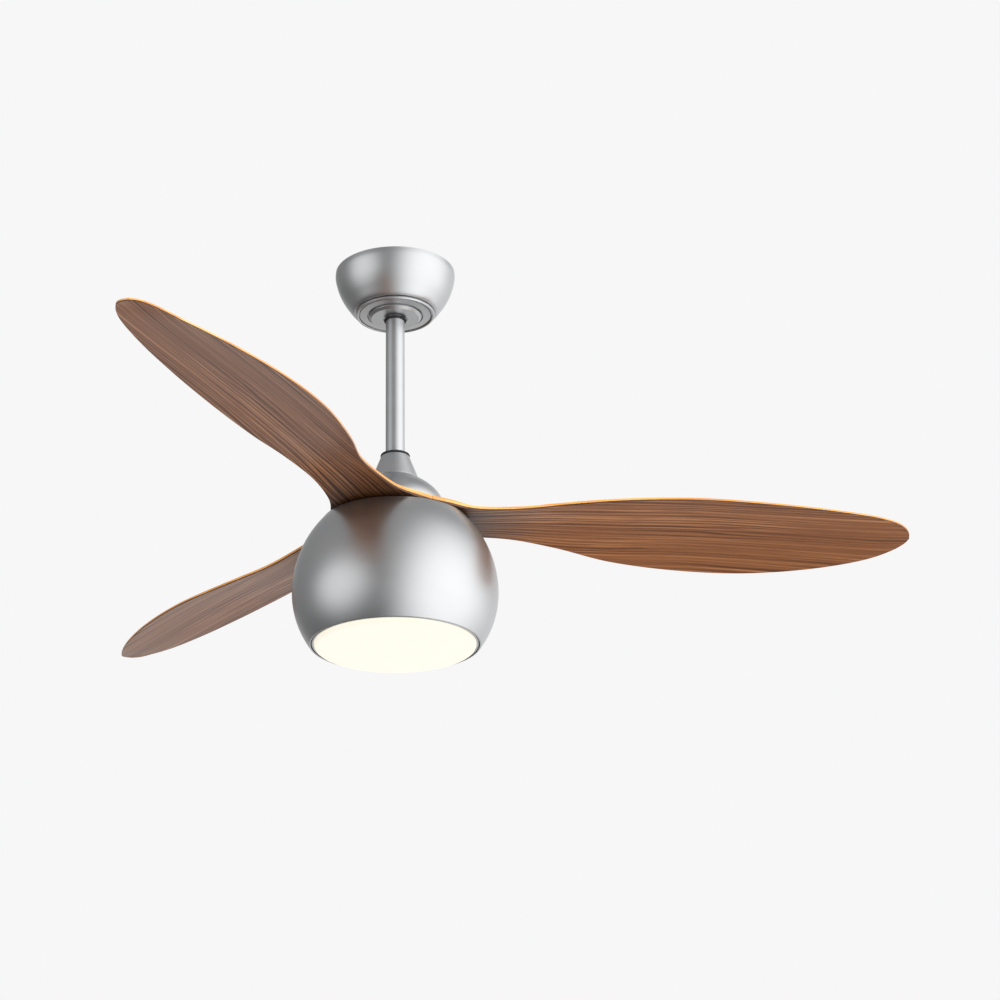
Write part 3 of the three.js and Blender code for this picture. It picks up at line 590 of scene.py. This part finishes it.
def globe():
    """Spun globe round the motor and the light, with the inner flange that it hangs by."""
    low, high = GLOBE_FOOT + 0.5, GLOBE_TOP - 3

    def arc(start, end, count, inset=0.0):
        heights = [start + (end - start) * k / count for k in range(count + 1)]
        return [(globe_radius(z) - inset, z) for z in heights]

    inset = GLOBE_WALL * 1.15                   # measured level, so a little more than the wall
    lid_foot = GLOBE_TOP - GLOBE_WALL
    flange_foot = FLANGE_TOP - GLOBE_WALL
    outer = [
        (103, GLOBE_FOOT + 0.6), (103.8, GLOBE_FOOT),
        *arc(low, high, 64), (91.4, GLOBE_TOP - 0.8), (GLOBE_MOUTH_R, GLOBE_TOP),
    ]
    inner = [
        (GLOBE_MOUTH_R, lid_foot), (90.4, lid_foot - 0.8), *arc(high - 8, FLANGE_TOP, 12, inset),
        (FLANGE_BORE_R, FLANGE_TOP), (FLANGE_BORE_R, flange_foot),
        *arc(flange_foot, INNER_WALL_FOOT, 16, inset), (105.2, GLOBE_FOOT + 5),
    ]
    return turned("spun_globe", rounded([*outer, *inner], 1.0), MANY_SIDES)


# ------------------------------------------------------------------ light cover
def bayonet_tab(build, middle):
    """A curved tab inside the ring that catches one lug of the lamp tray."""
    inner, outer = TAB_RADII
    low, high = TAB_FOOT, TAB_FOOT + TAB_HEIGHT
    corners = ((inner, low), (outer, low), (outer, high), (inner, high))
    columns = []
    for k in range(TAB_STEPS + 1):
        angle = math.radians(middle + TAB_SPAN * (k / TAB_STEPS - 0.5))
        c, s = math.cos(angle) * MM, math.sin(angle) * MM
        columns.append([build.verts.new((r * c, r * s, z * MM)) for r, z in corners])
    for column, beside in zip(columns, columns[1:]):
        for j in range(4):
            after = (j + 1) % 4
            build.faces.new((column[j], beside[j], beside[after], column[after]))
    build.faces.new(columns[0])
    build.faces.new(list(reversed(columns[-1])))


def light_pieces():
    """The thin ring that twists on to the lamp tray, with the opal dish that it holds."""
    shelf_top, ring_top = SHELF + 1.6, SHELF + 16
    ring = turned("bezel", rounded([
        (99.2, FACE + 0.4), (100, FACE), (101.6, FACE), (102.2, FACE + 0.7), (102.2, ring_top),
        (100.6, ring_top), (100.6, shelf_top), (SHELF_R, shelf_top), (SHELF_R, SHELF), (99.2, SHELF),
    ], 0.35), MANY_SIDES)
    build = bmesh.new()
    build.from_mesh(ring.data)
    for middle in TAB_ANGLES:
        bayonet_tab(build, middle)
    bmesh.ops.recalc_face_normals(build, faces=build.faces)
    build.to_mesh(ring.data)
    build.free()
    dish = turned("opal_dish", rounded([
        (0, DISH), (91.9, DISH + 0.3), (96.5, DISH + 1.2), (98.4, DISH + 2.8), (98.9, DISH + 5),
        (98.9, SHELF - 0.3), (96.7, SHELF - 0.3), (96.3, DISH + 4.4),
        (90.9, DISH + 2.5), (0, DISH + 2.2),
    ], 1.6), MANY_SIDES)
    return ring, dish


# ------------------------------------------------------------------ blades
def thickness_at(x):
    """How thick the blade is, so far out along it."""
    for (x1, t1), (x2, t2) in zip(THICKNESS, THICKNESS[1:]):
        if x <= x2:
            return t1 + (t2 - t1) * (x - x1) / (x2 - x1)
    return THICKNESS[-1][1]


def edge_point(points, side, share):
    """A point of one edge: straight out along the seam with the next blade, then the curve to the tip."""
    across = side * SEAM_RADIUS * math.sin(SEAM_ANGLE)
    seam = Vector((SEAM_RADIUS * math.cos(SEAM_ANGLE), across, 0))
    if share < ROOT_SHARE:
        hub = seam * (ROOT_RADIUS / SEAM_RADIUS)
        return hub.lerp(seam, share / ROOT_SHARE)
    knots = [seam, *(Vector(p) for p in points)]
    return spline(knots, (share - ROOT_SHARE) / (1 - ROOT_SHARE))


def underside(share, across):
    """A point of the blade's underside; its inner end bows out like an arc round the hub."""
    point = edge_point(RAISED_EDGE, -1, share).lerp(edge_point(LOWERED_EDGE, 1, share), across)
    bow = 4 * across * (1 - across)
    root = max(0.0, 1 - share / ROOT_SHARE)
    point.x += bow * root * ROOT_RADIUS * (1 - math.cos(SEAM_ANGLE))
    swell = math.sin(math.pi * min(max((point.x - CAMBER_START) / CAMBER_LENGTH, 0), 1))
    point.z += bow * CAMBER * swell
    return point


def blade_shares():
    """Stations along the blade, closer together towards the tip."""
    root = [ROOT_SHARE * k / ROOT_STATIONS for k in range(ROOT_STATIONS)]
    span = []
    for k in range(SPAN_STATIONS):
        along = k / SPAN_STATIONS
        slowed = along * (1 + TIP_CROWDING) - TIP_CROWDING * along ** 4
        span.append(ROOT_SHARE + (1 - ROOT_SHARE) * slowed)
    return root + span


def blade_rows(build):
    """Vertices of the underside, the top and the line along both edges, row by row out to the tip."""
    rows = []
    for share in blade_shares():
        low, high, band = [], [], {}
        for k in range(ACROSS + 1):
            point = underside(share, k / ACROSS)
            up = Vector((0, 0, thickness_at(point.x)))
            low.append(build.verts.new(point * MM))
            high.append(build.verts.new((point + up) * MM))
            if k in (0, ACROSS):
                band[k] = build.verts.new((point + up * LINE_SHARE) * MM)
        rows.append((low, high, band))
    tip = Vector(TIP)
    up = Vector((0, 0, thickness_at(tip.x)))
    tip_low, tip_high, tip_band = (build.verts.new((tip + up * w) * MM) for w in (0, 1, LINE_SHARE))
    rows.append(([tip_low] * (ACROSS + 1), [tip_high] * (ACROSS + 1), {0: tip_band, ACROSS: tip_band}))
    return rows


def blade_mesh(name):
    """Underside, top and edge of a blade; the edge is two bands, dark below and amber above."""
    build = bmesh.new()
    rows = blade_rows(build)

    def face(material, *corners):
        distinct = list(dict.fromkeys(corners))
        if len(distinct) > 2:
            build.faces.new(distinct).material_index = material

    for (low, high, band), (next_low, next_high, next_band) in zip(rows, rows[1:]):
        for k in range(ACROSS):
            face(WOOD, low[k], low[k + 1], next_low[k + 1], next_low[k])
            face(WOOD, high[k], next_high[k], next_high[k + 1], high[k + 1])
        for k in (0, ACROSS):
            face(LINE, low[k], next_low[k], next_band[k], band[k])
            face(EDGE, band[k], next_band[k], next_high[k], high[k])
    low, high, band = rows[0]
    face(EDGE, *low, band[ACROSS], *reversed(high), band[0])
    return finished(build, name, BLADE_SHARP)


def blades(amber, line):
    """Three equal blades, each turned to its own place round the hub."""
    for i, angle in enumerate(BLADE_ANGLES):
        piece = blade_mesh(f"wood_blade_{i + 1}")
        for finish in (FINISHES["wood_blade"], amber, line):
            piece.data.materials.append(finish)
        # the wood's grain follows the blade's own axes, so they are kept from before the turn
        grain = piece.data.attributes.new("grain", "FLOAT_VECTOR", "POINT")
        for vertex, entry in zip(piece.data.vertices, grain.data):
            entry.vector = vertex.co
        turn = Matrix.Rotation(math.radians(angle), 4, "Z")
        piece.data.transform(Matrix.Translation((0, 0, DECK * MM)) @ turn)
        corners = piece.modifiers.new("soft_corners", "BEVEL")
        corners.width = BLADE_CORNER * MM
        corners.segments = 3
        corners.limit_method = "ANGLE"
        corners.angle_limit = BLADE_CORNER_ANGLE
        place(piece, "rotor", None, "wood_blade", f"blade_{i + 1}")


# ------------------------------------------------------------------ carried-over CAD nodes
def numbered(name, count):
    """The names of equal nodes: name_1, name_2 and so on."""
    return [f"{name}_{k + 1}" for k in range(count)]


CAD_FINISHES = {
    "steel_sheet": ("hanger_bracket", "yoke", "globe_hanger", "led_tray"),
    "zinc_hardware": (
        *numbered("canopy_screw", 2), "earth_screw", "cross_pin", "clevis_pin", "cotter_pin",
        "motor_shaft", *numbered("globe_screw", 3), "shaft_nut", *numbered("light_post", 3),
        "bearing_upper", "bearing_lower", *numbered("blade_screw", 6),
    ),
    "dark_steel": ("stator_core", "magnet_ring", *numbered("set_screw", 2)),
    "copper_winding": ("windings_upper", "windings_lower"),
    "white_plastic": ("remote_receiver", "receiver_plug", "led_driver"),
    "black_plastic": ("hanger_ball", "terminal_block", "motor_leads", "supply_lead"),
    "silver_paint": ("rotor_upper_shell", "rotor_lower_shell"),
    "led_board": ("led_board",),
}


def finish_cad_nodes():
    """Procedural finishes and softened edges for the CAD pieces that stay."""
    for slot, names in CAD_FINISHES.items():
        for name in names:
            shown = frame["nodes"][name]
            shown.data.materials.clear()
            shown.data.materials.append(FINISHES[slot])
            weld = shown.modifiers.new("weld", "WELD")
            weld.merge_threshold = CAD_WELD_M
            soft = shown.modifiers.new("soft_edges", "BEVEL")
            soft.width = CAD_CORNER * MM
            soft.segments = 2
            soft.limit_method = "ANGLE"
            soft.angle_limit = CAD_CORNER_ANGLE


# ------------------------------------------------------------------ studio
def floor():
    """Plain pale floor, far below the fan."""
    build = bmesh.new()
    bmesh.ops.create_grid(build, x_segments=2, y_segments=2, size=FLOOR_REACH)
    piece = finished(build, "pale_floor")
    piece.location.z = FLOOR_Z
    pale = principled("pale_floor", {"Specular IOR Level": 0.2})
    drive(pale, "Base Color", graded(pale, noise(pale, (2.0, 2.0, 2.0), 4.0), (
        (0.35, (0.76, 0.76, 0.76)), (0.65, (0.80, 0.80, 0.80)),
    )))
    drive(pale, "Roughness", between(pale, noise(pale, (60.0, 60.0, 60.0)), 0.6, 0.8))
    piece.data.materials.append(pale)
    piece.visible_diffuse = False
    piece.visible_glossy = False


def strip_glow(world, toward, strip):
    """Brightness that one soft light adds in each direction."""
    direction, squash, edge, full, brightness = strip
    centre = Vector((direction[0], direction[1], direction[2] * squash)).normalized()
    flat = node(world, "ShaderNodeVectorMath", {0: toward, 1: (1, 1, squash)}, operation="MULTIPLY")
    aim = node(world, "ShaderNodeVectorMath", {0: flat.outputs["Vector"]}, operation="NORMALIZE")
    compared = {0: aim.outputs["Vector"], 1: tuple(centre)}
    facing = node(world, "ShaderNodeVectorMath", compared, operation="DOT_PRODUCT")
    values = {
        "Value": facing.outputs["Value"], "From Min": edge, "From Max": full,
        "To Min": 0.0, "To Max": brightness,
    }
    return node(world, "ShaderNodeMapRange", values, interpolation_type="SMOOTHSTEP").outputs["Result"]


def studio_world():
    """A white backdrop for the camera, and a grey room with tall soft lights for everything else."""
    world = bpy.data.worlds.new("studio")
    world.use_nodes = True
    bpy.context.scene.world = world
    background = world.node_tree.nodes["Background"]
    toward = node(world, "ShaderNodeTexCoord").outputs["Generated"]
    height = node(world, "ShaderNodeSeparateXYZ", {"Vector": toward}).outputs["Z"]
    level = between(world, height, SURROUND_LOW, SURROUND_HIGH, -0.6, 0.8)
    for strip in STRIPS:
        level = maths(world, "ADD", level, strip_glow(world, toward, strip))
    seen = node(world, "ShaderNodeLightPath").outputs["Is Camera Ray"]
    values = {"Value": seen, "From Min": 0.0, "From Max": 1.0, "To Min": level, "To Max": BACKDROP}
    shown = node(world, "ShaderNodeMapRange", values).outputs["Result"]
    background.inputs["Color"].default_value = (1.0, 1.0, 1.0, 1.0)
    world.node_tree.links.new(shown, background.inputs["Strength"])


def lamps():
    """Soft lamps that give the fan its shape; each one faces the blade deck."""
    for name, where, width, height, power, spread in LAMPS:
        light = bpy.data.lights.new(name, "AREA")
        light.shape = "RECTANGLE"
        light.size, light.size_y, light.energy = width, height, power
        light.spread = math.radians(spread)
        lamp = bpy.data.objects.new(name, light)
        lamp.location = where
        away = Vector((0, 0, DECK * MM)) - Vector(where)
        lamp.rotation_euler = away.to_track_quat("-Z", "Y").to_euler()
        lamp.visible_glossy = False
        bpy.context.scene.collection.objects.link(lamp)


def camera():
    """Looks along +Y and up at the blade deck."""
    toward = Vector((0, math.cos(CAMERA_RISE), math.sin(CAMERA_RISE)))
    lens = bpy.data.cameras.new("camera")
    lens.lens = CAMERA_LENS
    lens.sensor_width = CAMERA_SENSOR
    lens.shift_x, lens.shift_y = CAMERA_SHIFT
    lens.clip_end = CAMERA_END
    eye = bpy.data.objects.new("camera", lens)
    eye.location = Vector((0, 0, DECK * MM)) - toward * CAMERA_REACH
    eye.rotation_euler = toward.to_track_quat("-Z", "Y").to_euler()
    bpy.context.scene.collection.objects.link(eye)
    bpy.context.scene.camera = eye


# ------------------------------------------------------------------ assembly
def assemble():
    """Every visible piece, on its body and in place of its CAD node."""
    silver, rubber = FINISHES["silver_paint"], FINISHES["black_rubber"]
    place(canopy(), "ceiling_mount", silver, "silver_paint", "canopy")
    place(canopy_trim(), "ceiling_mount", silver, "silver_paint", "canopy_trim")
    rod, collar, ring = rod_pieces()
    place(rod, "rod_assembly", silver, "silver_paint", "downrod")
    place(collar, "rod_assembly", silver, "silver_paint", "rod_collar")
    place(ring, "rod_assembly", rubber, "black_rubber", "rod_ring")
    cone, cone_ring = coupling_pieces()
    place(cone, "sliding_cover", silver, "silver_paint", "coupling_cover")
    place(cone_ring, "sliding_cover", rubber, "black_rubber", "coupling_ring")
    place(blade_cap(), "rotor", silver, "silver_paint", "blade_cap")
    place(globe(), "rod_assembly", silver, "silver_paint", "globe")
    bezel, dish = light_pieces()
    place(bezel, "light_cover", silver, "silver_paint", "bezel_ring")
    place(dish, "light_cover", FINISHES["opal_diffuser"], "opal_diffuser", "diffuser")
    blades(amber_edge(), edge_line())
    finish_cad_nodes()


assemble()
floor()
studio_world()
lamps()
camera()
bpy.context.scene.view_settings.view_transform = "Standard"
